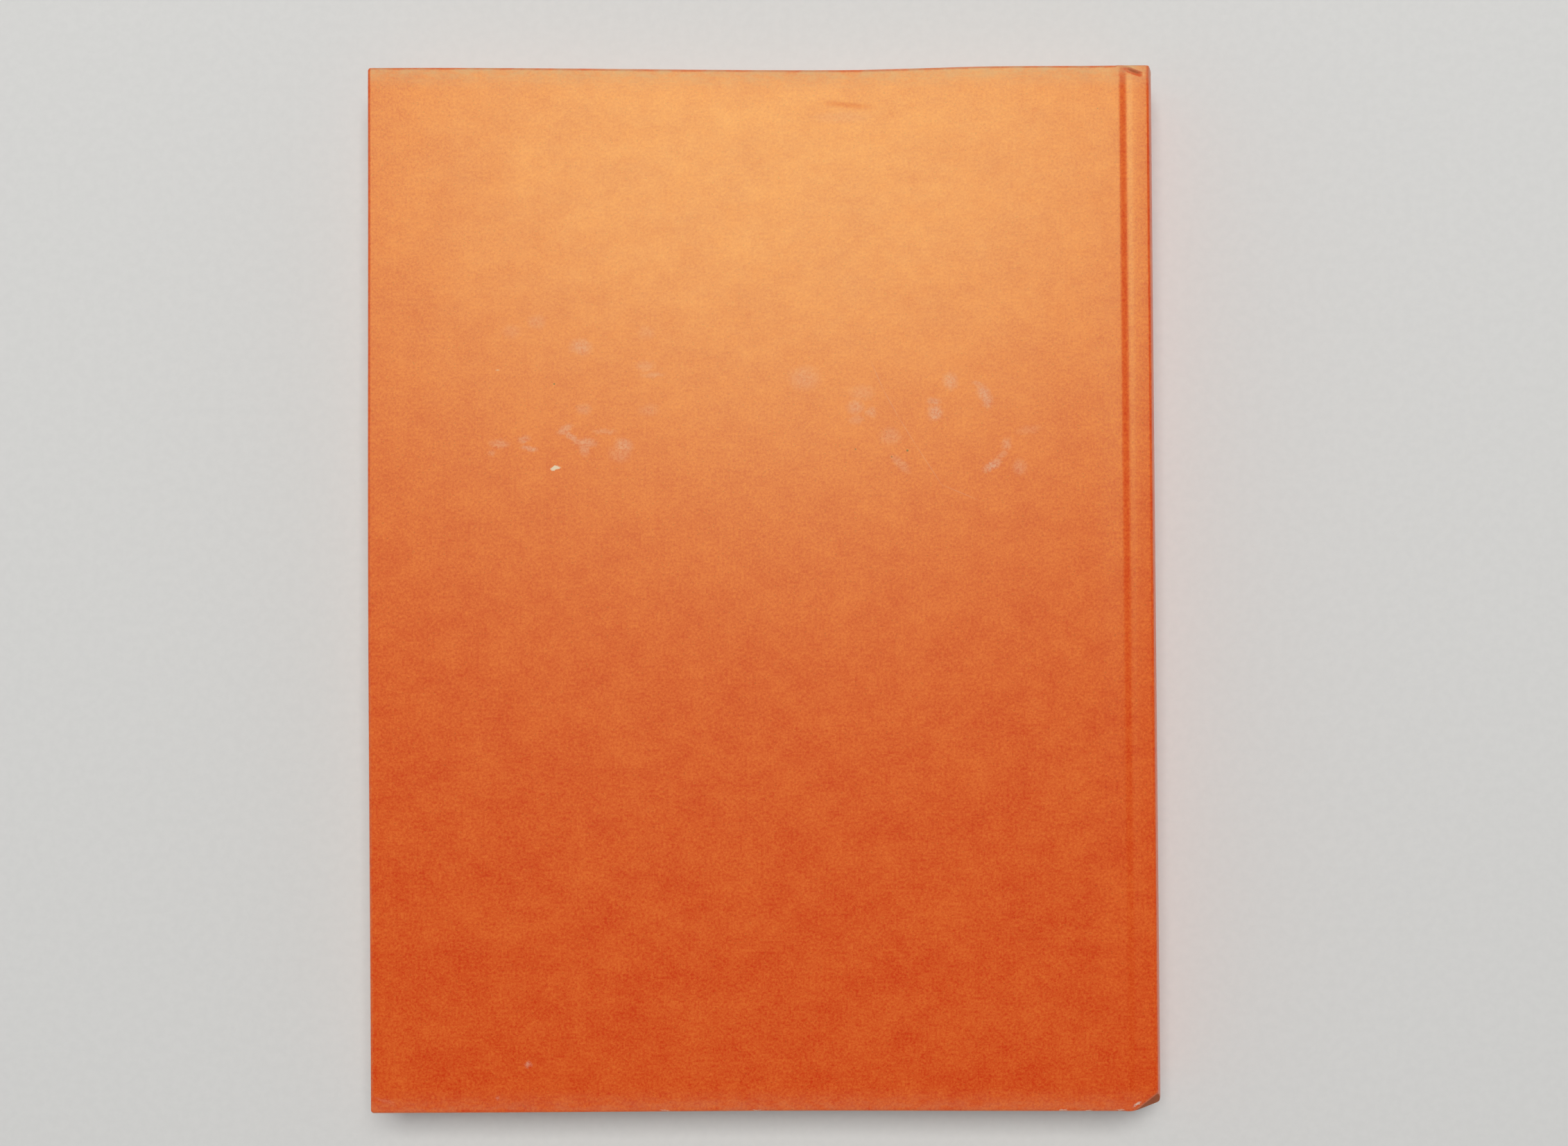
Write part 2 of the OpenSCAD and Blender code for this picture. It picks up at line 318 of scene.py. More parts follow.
headband_cloth, tree, shader = new_material("headband_cloth", Roughness=0.6, Sheen_Weight=0.3)
turns = add_node(tree, "SeparateXYZ", {0: add_node(tree, "UVMap", uv_map="winding").outputs["UV"]}).outputs["X"]
stripe = math_node(tree, "PINGPONG", turns, STRIPE_TURNS)
striped = map_range(tree, stripe, *STRIPE_EDGE)
tree.links.new(between(tree, striped, THREAD_CREAM, THREAD_ORANGE), shader.inputs["Base Color"])
fibres = fractal(tree, add_node(tree, "TexCoord").outputs["Object"], scale=6000, detail=2)
add_bump(tree, shader, fibres, FIBRE_RELIEF)


def headband(name, node_name, end):
    """A tape down the back and a thread-wound bead that arches over the end of the leaves."""
    low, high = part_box(node_name)
    band_r = high.x - arc_x
    half_angle = math.asin((high.z - mid_z) / band_r)
    bead_path_r = band_r - BEAD_R
    bead_y = end * (half_head + BEAD_R / 2)
    thread_count = round(2 * half_angle * bead_path_r / THREAD_PITCH)
    steps = thread_count * STEPS_PER_THREAD
    angles = np.linspace(-half_angle, half_angle, steps + 1)
    round_bead = np.linspace(0, 2 * math.pi, BEAD_SIDES + 1)
    winding = np.linspace(0, thread_count, steps + 1)[:, None] + THREAD_SLANT * round_bead / (2 * math.pi)
    radius = BEAD_R - THREAD_BULGE + THREAD_BULGE * np.abs(np.sin(math.pi * winding))
    reach = bead_path_r + radius * np.cos(round_bead)
    place = np.zeros((steps + 1, BEAD_SIDES + 1, 3))
    place[..., 0] = arc_x + reach * np.cos(angles)[:, None] + lean(bead_y)
    place[..., 1] = bead_y + radius * np.sin(round_bead)
    place[..., 2] = mid_z + reach * np.sin(angles)[:, None]
    bm = bmesh.new()
    uv = bm.loops.layers.uv.new("winding")
    for vert in grid_sheet(bm, place):
        nearest = np.argmin(np.abs(angles - math.atan2(vert.co.z - mid_z, vert.co.x - lean(bead_y) - arc_x)))
        for loop in vert.link_loops:
            loop[uv].uv = (nearest / STEPS_PER_THREAD, 0)
    tape_rows = np.array([end * half_head, low.y if end > 0 else high.y])
    tape_angles = np.linspace(-half_angle, half_angle, TAPE_COLUMNS)
    tape = np.zeros((TAPE_COLUMNS, 2, 3))
    tape[..., 0] = arc_x + band_r * np.cos(tape_angles)[:, None] + lean(tape_rows)
    tape[..., 1] = tape_rows
    tape[..., 2] = mid_z + band_r * np.sin(tape_angles)[:, None]
    grid_sheet(bm, tape)
    bmesh.ops.remove_doubles(bm, verts=bm.verts, dist=MERGE)
    bmesh.ops.holes_fill(bm, edges=[edge for edge in bm.edges if edge.is_boundary], sides=BEAD_SIDES)
    bmesh.ops.recalc_face_normals(bm, faces=bm.faces)
    piece = add_piece(name, bm, headband_cloth)
    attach(piece, "pages")
    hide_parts(node_name)


headband("striped_headband_head", "head_headband", 1)
headband("striped_headband_tail", "tail_headband", -1)


# Endpapers: a folded sheet of uncoated off-white paper at each end of the leaves.
# One half is the free flyleaf; the other is pasted down on the board, where the turned-in edges of the
# covering and the gauze flap show through as low steps, and it runs on across the joint.
FLYLEAF_T = 0.1 * MM
PASTED_T = 0.14 * MM
PASTE_T = 0.01 * MM
TURN_IN = 15 * MM
STEP_RUN = 0.9 * MM
TURN_IN_STEP = 0.2 * MM
FLAP_STEP = 0.12 * MM
SWELL = 0.03 * MM
SWELL_ALONG, SWELL_ACROSS, SWELL_TURN = 31 * MM, 43 * MM, 90 * MM
FLYLEAF_STEPS = (70, 90)
PASTED_COLUMN_STEPS = (6, 8, 60, 8, 14, 18)
PASTED_ROW_STEPS = (6, 10, 100, 10, 6)
ENDPAPER_PALE = (0.86, 0.83, 0.76, 1)
ENDPAPER_WARM = (0.80, 0.76, 0.66, 1)
FIBRE_SCALE = (500, 1400, 1)
FIBRE_SHARE, CLOUD_SHARE = 0.3, 0.7
ENDPAPER_TONES = (0.3, 0.7)

endpaper, tree, shader = new_material("endpaper", Roughness=0.7, Specular_IOR_Level=0.3)
coordinates = add_node(tree, "UVMap", uv_map="flat").outputs["UV"]
clouds = fractal(tree, coordinates, scale=35, detail=6, roughness=0.7)
fibres = fractal(tree, stretched(tree, coordinates, FIBRE_SCALE), scale=1, detail=3)
specks = fractal(tree, coordinates, scale=2500, detail=2)
toned = math_node(tree, "MULTIPLY_ADD", fibres, FIBRE_SHARE, math_node(tree, "MULTIPLY", clouds, CLOUD_SHARE))
warmed = between(tree, map_range(tree, toned, *ENDPAPER_TONES), ENDPAPER_PALE, ENDPAPER_WARM)
tree.links.new(warmed, shader.inputs["Base Color"])
add_bump(tree, shader, math_node(tree, "ADD", fibres, specks), TOOTH)


def graded(stops, steps):
    """Places on a line through the stops, with the given number of steps between each two."""
    runs = [np.linspace(a, b, n, endpoint=False) for a, b, n in zip(stops, stops[1:], steps)]
    return np.concatenate(runs + [[stops[-1]]])


def turned_over(place, front):
    """A piece of the back half as it is, or turned over to be its twin on the front half."""
    if front:
        place = place[:, ::-1].copy()
        place[..., 2] = 2 * mid_z - place[..., 2]
    return place


def set_flat_map(bm, verts, flat):
    """Keeps where each point lay on the flat sheet as a UV map."""
    uv = bm.loops.layers.uv.new("flat")
    for vert, spot in zip(verts, flat):
        for loop in vert.link_loops:
            loop[uv].uv = spot


def paper_sheet(name, along, across, height, front, thickness, offset):
    """A sheet of endpaper with the given places and heights, thick to the given side."""
    place = np.zeros((len(along), len(across), 3))
    place[..., 0] = along[:, None]
    place[..., 1] = across
    place[..., 2] = height
    bm = bmesh.new()
    verts = grid_sheet(bm, turned_over(place, front))
    set_flat_map(bm, verts, [(vert.co.x, vert.co.y) for vert in verts])
    piece = add_piece(name, bm, endpaper)
    add_thickness(piece, thickness, offset)
    return piece


pasted_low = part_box("back_pastedown")[0]
flap_low, flap_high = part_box("back_mull_flange")
cover_low, cover_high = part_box("back_cover_paper")
board_low, board_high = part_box("back_board")
hinges = {joint["name"]: Vector(joint["pos_m"]) for joint in frame["joints"]}
hinge = hinges["back_hinge"]
inner_z = flyleaf_high.z
shoulder_foot = flyleaf_high.x
window_x = cover_low.x + TURN_IN
window_y = cover_high.y - TURN_IN

fly_along = np.linspace(flyleaf_low.x, shoulder_foot, FLYLEAF_STEPS[0])
fly_across = np.linspace(-half_head, half_head, FLYLEAF_STEPS[1])
x, y = fly_along[:, None], fly_across
swell = SWELL * np.sin(x / SWELL_ALONG) * np.cos(y / SWELL_ACROSS + x / SWELL_TURN)
pasted_along = graded(
    [pasted_low.x, window_x - STEP_RUN, window_x + STEP_RUN, flap_low.x - STEP_RUN, flap_low.x + STEP_RUN,
     board_high.x, shoulder_foot],
    PASTED_COLUMN_STEPS)
pasted_across = graded(
    [-half_head, -window_y - STEP_RUN, -window_y + STEP_RUN, window_y - STEP_RUN, window_y + STEP_RUN, half_head],
    PASTED_ROW_STEPS)
x, y = pasted_along[:, None], np.abs(pasted_across)
in_window = (smooth_step(window_x - STEP_RUN, window_x + STEP_RUN, x)
             * smooth_step(window_y + STEP_RUN, window_y - STEP_RUN, y)
             * smooth_step(board_high.x, board_high.x - STEP_RUN, x))
over_flap = (smooth_step(flap_low.x - STEP_RUN, flap_low.x + STEP_RUN, x)
             * smooth_step(flap_high.y + STEP_RUN, flap_high.y - STEP_RUN, y))
sunk = in_window * (TURN_IN_STEP - FLAP_STEP * over_flap)
for side, front in (("back", False), ("front", True)):
    flyleaf = paper_sheet(side + "_free_endpaper", fly_along, fly_across,
                          (flyleaf_low.z + pasted_low.z) / 2 + swell, front, FLYLEAF_T, 0)
    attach(flyleaf, "pages")
    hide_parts(side + "_flyleaf")
    pasted = paper_sheet(side + "_pasted_endpaper", pasted_along, pasted_across,
                         pasted_low.z + PASTE_T + sunk, front, PASTED_T, -1 if front else 1)
    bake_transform(pasted)
    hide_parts(side + "_pastedown", side + "_mull_flange")


# Boards: two cut sheets of dense grey board, wholly wrapped in the covering paper.
# The back one has been knocked about: its head edge is bowed in, it has a dent near that edge and it is not quite
# flat. The covering follows all of this.
BOARD_SPARE = 0.2 * MM
BOARD_STEPS = (50, 60)
BOARD_TOP_FADE, BOARD_JOINT_FADE = 0.5 * MM, 8 * MM
BOW_DEPTH = 0.9 * MM
BOW_START, BOW_MIDDLE, BOW_END = -100 * MM, 19 * MM, 70 * MM
DENT_X, DENT_Y = 22.6 * MM, 133.4 * MM
DENT_DEPTH = 0.15 * MM
DENT_SLANT = 0.11
DENT_HALF, DENT_RUN, DENT_REACH = 1.2 * MM, 11 * MM, 7.5 * MM
CREASE_X, CREASE_Y = 37 * MM, 130.6 * MM
CREASE_SLANT = 0.38
CREASE_DEPTH = 0.06 * MM
CREASE_REACH, CREASE_HALF = 4 * MM, 0.6 * MM
HEAD_ROLL = 0.4 * MM
HEAD_ROLL_RUN = 9 * MM
PLAIN_ROLL = 0.3
BOARD_WAVE = 0.1 * MM
WAVE_ALONG, WAVE_ACROSS = 27 * MM, 38 * MM
WAVE_SHIFT = (0.6, 0.4)
TAIL_BOW, TAIL_BOW_REACH = 0.3 * MM, 60 * MM
FORE_BOW, FORE_BOW_REACH = 0.4 * MM, 90 * MM
BOWED_END, BOWED_FORE = 100 * MM, -70 * MM
PULP_RELIEF = 0.1 * MM
BOARD_PALE = (0.36, 0.33, 0.29, 1)
BOARD_DEEP = (0.22, 0.20, 0.18, 1)
PULP_TONES = (0.35, 0.65)

case_top = cad_box[1].z
half_case = cad_box[1].y

greyboard, tree, shader = new_material("greyboard", Roughness=0.9)
coordinates = add_node(tree, "TexCoord").outputs["Object"]
pulp = fractal(tree, coordinates, scale=700, detail=6, roughness=0.7)
greyed = between(tree, map_range(tree, pulp, *PULP_TONES), BOARD_DEEP, BOARD_PALE)
tree.links.new(greyed, shader.inputs["Base Color"])
add_bump(tree, shader, pulp, PULP_RELIEF)


def bell(middle, half_width, value):
    """1 at the middle, falling off softly over half a width to each side."""
    return np.exp(-((value - middle) / half_width) ** 2)


def knock_board(place):
    """Moves the points of the back cover where its board is bowed, dented or wavy."""
    x, y, z = place[..., 0], place[..., 1], place[..., 2]
    upper = smooth_step(inner_z - BOARD_TOP_FADE, case_top, z) * smooth_step(hinge.x, hinge.x - BOARD_JOINT_FADE, x)
    lip = DENT_Y - DENT_SLANT * (x - DENT_X)
    dent = smooth_step(lip + DENT_HALF, lip - DENT_HALF, y) * smooth_step(lip - DENT_RUN, lip - DENT_HALF, y)
    dent *= np.exp(-((x - DENT_X) / DENT_REACH) ** 4)
    crease = bell(CREASE_X, CREASE_REACH, x) * bell(CREASE_Y + CREASE_SLANT * (x - CREASE_X), CREASE_HALF, y)
    wave = np.sin(x / WAVE_ALONG + WAVE_SHIFT[0]) * np.cos(y / WAVE_ACROSS + WAVE_SHIFT[1]) - 1
    head_bow = smooth_step(BOW_START, BOW_MIDDLE, x) * smooth_step(BOW_END, BOW_MIDDLE, x)
    rolled = np.clip((y - half_case + HEAD_ROLL_RUN) / HEAD_ROLL_RUN, 0, 1) ** 2
    rolled *= PLAIN_ROLL + (1 - PLAIN_ROLL) * head_bow
    z += upper * (BOARD_WAVE * wave - DENT_DEPTH * dent - CREASE_DEPTH * crease - HEAD_ROLL * rolled)
    y -= BOW_DEPTH * head_bow * smooth_step(BOWED_END, half_case, y)
    y += TAIL_BOW * bell(0, TAIL_BOW_REACH, x) * smooth_step(-BOWED_END, -half_case, y)
    x -= FORE_BOW * bell(0, FORE_BOW_REACH, y) * smooth_step(BOWED_FORE, cover_low.x, x)


def board_sheet(name, node_name, front):
    """A cut sheet of board inside its covering, bowed and dented where it is the back one."""
    along = np.linspace(board_low.x + BOARD_SPARE, board_high.x, BOARD_STEPS[0])
    across = np.linspace(board_low.y + BOARD_SPARE, board_high.y - BOARD_SPARE, BOARD_STEPS[1])
    place = np.zeros((*BOARD_STEPS, 3))
    place[..., 0] = along[:, None]
    place[..., 1] = across
    place[..., 2] = (board_low.z + board_high.z) / 2
    if not front:
        knock_board(place)
    bm = bmesh.new()
    grid_sheet(bm, turned_over(place, front))
    piece = add_piece(name, bm, greyboard)
    add_thickness(piece, board_high.z - board_low.z - BOARD_SPARE, 0)
    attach(piece, "front_cover" if front else "back_cover")
    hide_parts(node_name)


board_sheet("back_greyboard", "back_board", False)
board_sheet("front_greyboard", "front_board", True)


# Covering paper: one sheet of mottled orange paper, glued over both boards and the spine.
# It is folded over the board edges and turned in, and rubbed down into a groove along each joint.
# It is built as a flat sheet in two halves that meet on the spine, each folded round its board.
FOLD_R = 0.7 * MM
THIN_FOLD = 0.45
EDGE_INSET = 0.9 * MM
SPINE_EDGE_R = 1.0 * MM
STRIP_DROP = 0.2 * MM
STRIP_CROWN = 0.06 * MM
GROOVE_DEPTH = 0.25 * MM
GROOVE_END_RISE, GROOVE_END_RUN = 0.35, 4 * MM
GROOVE_FOLD, GROOVE_FLOOR, GROOVE_CREST = -0.6 * MM, 1.8 * MM, 3.5 * MM
INLAY_STACK = 1.6 * MM
CARD_EDGE = 0.75
DOUBLED_T = 0.6 * MM
SPINE_TURN_IN = 12 * MM
JOINT_TURN_IN = 2.4 * MM
CORNER_TURN_IN = 1.0 * MM
CORNER_PITCH = 0.3 * MM
TURN_IN_MIDDLE = 0.3
SPINE_STEPS, SPINE_EDGE_STEPS, STRIP_STEPS, BANK_STEPS, WALL_STEPS = 24, 16, 14, 16, 14
ROUND_STEPS = 5
FORE_BAND = 8 * MM
EDGE_RUB = 0.2
# The head edge and a band of the face behind it are painted paler than the other edges: partly wear, partly a
# painted highlight for the sheen the lamp beyond the head gives there.
HEAD_RUB_AND_HIGHLIGHT, HEAD_FACE_RUB_AND_HIGHLIGHT = 0.85, 0.68
TURN_IN_RUB = 0.1
TAIL_RUB = 0.22
END_BAND_REACH = 7.0 * MM
END_BAND_FALL = 1.5
LEAN_RUN = 14 * MM

cover_t = case_top - board_high.z
groove_r = hinge.x - board_high.x - cover_t
strip_z = case_top - STRIP_DROP
spine_r = cad_box[1].x - arc_x
board_stack = case_top - inner_z
board_fold_x = hinge.x - groove_r - FOLD_R
fold_x = hinge.x + GROOVE_FOLD
floor_x = hinge.x + GROOVE_FLOOR
floor_z = case_top - GROOVE_DEPTH
crest_x = hinge.x + GROOVE_CREST
edge_z = strip_z - STRIP_CROWN - SPINE_EDGE_R
edge = np.array([arc_x + math.sqrt((spine_r - SPINE_EDGE_R) ** 2 - (edge_z - mid_z) ** 2), edge_z])
spine_centre = np.array([arc_x, mid_z])


def arc_run(centre, radius, start, end, steps):
    """Points of an arc in X and Z from one angle to another, without the last, and their directions."""
    angles = np.radians(np.linspace(start, end, steps, endpoint=False))
    away = np.column_stack([np.cos(angles), np.sin(angles)])
    return centre + radius * away, away


def bank_run(start, end, steps):
    """Points of an even S in X and Z between two levels, without the last."""
    share = np.linspace(0, 1, steps, endpoint=False)
    return np.column_stack([
        start[0] + (end[0] - start[0]) * share, start[1] + (end[1] - start[1]) * smooth_step(0, 1, share)])


def case_section(flat_stops, flat_steps):
    """Outer and inner face of the case in X and Z, from the middle of the spine to the fore-edge fold."""
    to_edge = math.degrees(math.asin((edge[1] - mid_z) / (spine_r - SPINE_EDGE_R)))
    back, back_away = arc_run(spine_centre, spine_r, 0, to_edge, SPINE_STEPS)
    card = smooth_step(to_edge, CARD_EDGE * to_edge, np.linspace(0, to_edge, SPINE_STEPS, endpoint=False))
    back_in = back - back_away * (DOUBLED_T + (INLAY_STACK - DOUBLED_T) * card)[:, None]
    tilt = math.degrees(math.atan(2 * STRIP_CROWN / (edge[0] - crest_x)))
    bend, bend_away = arc_run(edge, SPINE_EDGE_R, to_edge, 90 - tilt, SPINE_EDGE_STEPS)
    bend_end = edge[0] + SPINE_EDGE_R * math.sin(math.radians(tilt))
    strip_x = np.linspace(bend_end, crest_x, STRIP_STEPS, endpoint=False)
    strip = np.column_stack([strip_x, strip_z - STRIP_CROWN * ((strip_x - crest_x) / (edge[0] - crest_x)) ** 2])
    bank = bank_run((crest_x, strip_z), (floor_x, floor_z), BANK_STEPS)
    wall = bank_run((floor_x, floor_z), (fold_x, case_top), WALL_STEPS)
    joint_in = floor_z - DOUBLED_T
    wall_in = np.column_stack([wall[:, 0], np.full(len(wall), joint_in)])
    flat_x = graded(flat_stops, flat_steps)
    flat = np.column_stack([flat_x, np.full(len(flat_x), case_top)])
    flat_in = np.column_stack([flat_x, inner_z + (joint_in - inner_z) * smooth_step(board_fold_x, fold_x, flat_x)])
    outer = np.concatenate([back, bend, strip, bank, wall, flat])
    below = [0, DOUBLED_T]
    inner = np.concatenate([back_in, bend - DOUBLED_T * bend_away, strip - below, bank - below, wall_in, flat_in])
    return outer, inner


def round_edge(depth, turn):
    """Steps of the paper's way round an edge of the given depth: how far out and how far down at each."""
    r = np.minimum(FOLD_R, THIN_FOLD * depth)
    zero = np.zeros_like(depth)
    steps = [(EDGE_INSET - r, zero)]
    for a in np.linspace(0, math.pi / 2, ROUND_STEPS + 1)[1:]:
        steps.append((EDGE_INSET - r + r * math.sin(a), r - r * math.cos(a)))
    for a in np.linspace(0, math.pi / 2, ROUND_STEPS):
        steps.append((EDGE_INSET - r + r * math.cos(a), depth - r + r * math.sin(a)))
    steps.append((EDGE_INSET - r - TURN_IN_MIDDLE * (turn - r), depth))
    steps.append((EDGE_INSET - turn, depth))
    return steps


def fold_case(flat_stops, flat_steps, across):
    """Folds half of the covering sheet: its places, where they lay on the flat sheet, how pale each is painted for
    wear and, at the head, also for a painted highlight, and the height of the outer face over each."""
    outer, inner = case_section(flat_stops, flat_steps)
    fore_x, fore_y = outer[-1, 0], across[-1]
    depth = np.linalg.norm(inner - outer, axis=1)
    down = (inner - outer) / depth[:, None]
    x = outer[:, 0]
    on_board = smooth_step(fold_x, board_fold_x, x)
    turn = JOINT_TURN_IN + (SPINE_TURN_IN - JOINT_TURN_IN) * smooth_step(edge[0], cad_box[1].x - MM, x)
    turn = turn + on_board * (TURN_IN - JOINT_TURN_IN)
    turn = np.minimum(turn, CORNER_TURN_IN + x - fore_x)
    rings = round_edge(depth, turn)
    fore_turn = np.minimum(TURN_IN, CORNER_TURN_IN + fore_y - np.abs(across))
    fore_rings = round_edge(np.full(len(across), board_stack), fore_turn)
    corner_rings = round_edge(np.array(board_stack), np.array(CORNER_TURN_IN))
    ring_count = len(rings)
    columns, rows = len(x) + ring_count, len(across) + 2 * ring_count
    place, flat, rub_and_highlight = np.zeros((columns, rows, 3)), np.zeros((columns, rows, 2)), np.zeros((columns, rows))
    face_z = np.full((columns, rows), case_top)
    face_z[:len(x)] = outer[:, 1][:, None]
    lengths = np.concatenate([[0], np.cumsum(np.linalg.norm(np.diff(outer, axis=0), axis=1))])
    flat_x = fore_x + lengths[-1] - lengths
    plain_rows = slice(ring_count, ring_count + len(across))
    place[:len(x), plain_rows, 0] = x[:, None]
    place[:len(x), plain_rows, 1] = across
    place[:len(x), plain_rows, 2] = outer[:, 1][:, None]
    flat[:len(x), plain_rows, 0] = flat_x[:, None]
    flat[:len(x), plain_rows, 1] = across
    path = np.zeros(len(x))
    fore_path = np.zeros(len(across))
    before = (np.zeros(len(x)), np.zeros(len(x)))
    for k in range(ring_count):
        out, sunk_in = rings[k]
        path = path + np.hypot(out - before[0], sunk_in - before[1])
        before = (out, sunk_in)
        edge_paling = EDGE_RUB if k <= ROUND_STEPS else TURN_IN_RUB
        for end, row in ((1, ring_count + len(across) + k), (-1, ring_count - 1 - k)):
            place[:len(x), row, 0] = x + down[:, 0] * sunk_in
            place[:len(x), row, 1] = end * (fore_y + out)
            place[:len(x), row, 2] = outer[:, 1] + down[:, 1] * sunk_in
            flat[:len(x), row, 0] = flat_x
            flat[:len(x), row, 1] = end * (fore_y + path)
            # At the head the rounding is painted much paler: wear and a painted highlight.
            rub_and_highlight[:len(x), row] = HEAD_RUB_AND_HIGHLIGHT if end > 0 and k <= ROUND_STEPS else edge_paling
        fore_out, fore_down = fore_rings[k]
        column = len(x) + k
        if k:
            fore_path = fore_path + np.hypot(fore_out - fore_rings[k - 1][0], fore_down - fore_rings[k - 1][1])
        else:
            fore_path = fore_out.copy()
        place[column, plain_rows, 0] = fore_x - fore_out
        place[column, plain_rows, 1] = across
        place[column, plain_rows, 2] = case_top - fore_down
        flat[column, plain_rows, 0] = fore_x - fore_path
        flat[column, plain_rows, 1] = across
        rub_and_highlight[column, plain_rows] = edge_paling
        for end in (1, -1):
            for other in range(ring_count):
                ring = max(k, other)
                if other >= k:
                    swing = math.pi / 2 * (1 - 0.5 * (k + 1) / (other + 1))
                else:
                    swing = math.pi / 4 * (other + 1) / (k + 1)
                corner_out, corner_down = corner_rings[ring]
                row = ring_count + len(across) + other if end > 0 else ring_count - 1 - other
                place[column, row] = (
                    fore_x - corner_out * math.cos(swing), end * (fore_y + corner_out * math.sin(swing)),
                    case_top - corner_down)
                flat[column, row] = (
                    fore_x - (k + 1) * CORNER_PITCH, end * (fore_y + (other + 1) * CORNER_PITCH))
                rub_and_highlight[column, row] = EDGE_RUB if ring <= ROUND_STEPS else TURN_IN_RUB
    # Bands along the head and tail faces: wear at the tail; wear and a painted highlight at the head.
    end_band_share = np.clip((np.abs(across) - half_case + END_BAND_REACH) / (END_BAND_REACH - EDGE_INSET), 0, 1) ** END_BAND_FALL
    rub_and_highlight[:len(x), plain_rows] = np.where(across > 0, HEAD_FACE_RUB_AND_HIGHLIGHT, TAIL_RUB) * end_band_share
    level = np.interp(x, [fold_x, crest_x], [case_top, strip_z])
    sunk = np.where((x > fold_x) & (x < crest_x), level - outer[:, 1], 0)
    at_end = smooth_step(half_case - GROOVE_END_RUN, half_case - EDGE_INSET, np.abs(place[:len(x), :, 1]))
    place[:len(x), :, 2] += GROOVE_END_RISE * sunk[:, None] * at_end
    return place, flat, rub_and_highlight, face_z


def case_half(name, front, flat_steps, across, material):
    """Half of the case's covering, from the spine round its board, blended across the joint."""
    flat_stops = [fold_x, board_fold_x - MM, cover_low.x + FORE_BAND, cover_low.x + EDGE_INSET]
    place, flat, rub_and_highlight, face_z = fold_case(flat_stops, flat_steps, across)
    painted_shade = np.zeros_like(rub_and_highlight)
    if front:
        flat[..., 0] = 2 * flat[0, 0, 0] - flat[..., 0]
        flat, rub_and_highlight = flat[:, ::-1], rub_and_highlight[:, ::-1]
    else:
        knock_board(place)
        # The knocks also give a share of painted shade: dark colour that stands for the shadow in the head fold and
        # on the tail facet.
        painted_shade = knock_spine(place, face_z)
    place[..., 0] += lean(place[..., 1]) * smooth_step(fold_x - LEAN_RUN, fold_x, place[..., 0])
    place = turned_over(place, front)
    bm = bmesh.new()
    # The points keep their edge paling (wear, and at the head also a painted highlight) and their painted shade.
    rubbed_and_lit = bm.verts.layers.float.new("rub_and_highlight")
    painted_shade_mask = bm.verts.layers.float.new("painted_shade")
    spots = []

    def note(vert, column, row):
        vert[rubbed_and_lit] = rub_and_highlight[column, row]
        vert[painted_shade_mask] = painted_shade[column, row]
        spots.append(flat[column, row])

    verts = grid_sheet(bm, place, note)
    set_flat_map(bm, verts, spots)
    bmesh.ops.reverse_faces(bm, faces=bm.faces)
    piece = add_piece(name, bm, material)
    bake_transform(piece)
    return piece


# Knocks on the spine: damage from use, in the covering and in the card under it.
# The corner at the tail is crushed in to a slanting facet, and the paper over the head has a sunken fold.
# Both are darkened with painted shade: a dark colour that stands for the shadow in the fold and on the facet.
CRUSH_START = 1.3 * MM
CRUSH_TURN = math.radians(38)
CRUSH_SLOPE = math.radians(62)
CRUSH_SOFT = 0.8 * MM
LENS_X, LENS_Y = 102.3 * MM, 141.7 * MM
LENS_TURN = math.radians(-20)
LENS_HALF = 2.8 * MM
LENS_WIDTH, LENS_STEEP = 0.9 * MM, 0.4 * MM
LENS_DEPTH = 0.5 * MM
LENS_FACE = 2 * MM
# The two spans below set how much painted shade, a dark colour in place of shadow, the fold and the facet get.
LENS_SHADE_SPAN = (0.3, 0.85)
CRUSH_SHADE_SPAN = (0.3 * MM, 1.2 * MM)


def knock_spine(place, face_z):
    """Moves the points of the spine where it has been knocked, and tells how much painted shade each gets from it.
    """
    x, y, z = place[..., 0], place[..., 1], place[..., 2]
    along = (x - LENS_X) * math.cos(LENS_TURN) + (y - LENS_Y) * math.sin(LENS_TURN)
    athwart = (y - LENS_Y) * math.cos(LENS_TURN) - (x - LENS_X) * math.sin(LENS_TURN)
    gap = np.where(athwart > 0, athwart / LENS_STEEP, -athwart / LENS_WIDTH)
    lens = np.clip(1 - (along / LENS_HALF) ** 2, 0, 1) * np.clip(1 - gap, 0, 1)
    z -= LENS_DEPTH * lens * (face_z > strip_z - LENS_FACE)
    past = (x - hinge.x - CRUSH_START) * math.sin(CRUSH_TURN) - (y + half_case) * math.cos(CRUSH_TURN)
    proud = face_z - strip_z + math.tan(CRUSH_SLOPE) * past
    crushed = (proud + np.sqrt(proud ** 2 + CRUSH_SOFT ** 2)) / 2
    crushed = crushed * (y < 0) * smooth_step(hinge.x, hinge.x + CRUSH_START, x) * (face_z > mid_z)
    z -= crushed
    # The deepest part of the fold and the crushed facet get painted shade.
    return np.maximum(smooth_step(*LENS_SHADE_SPAN, lens), smooth_step(*CRUSH_SHADE_SPAN, crushed))


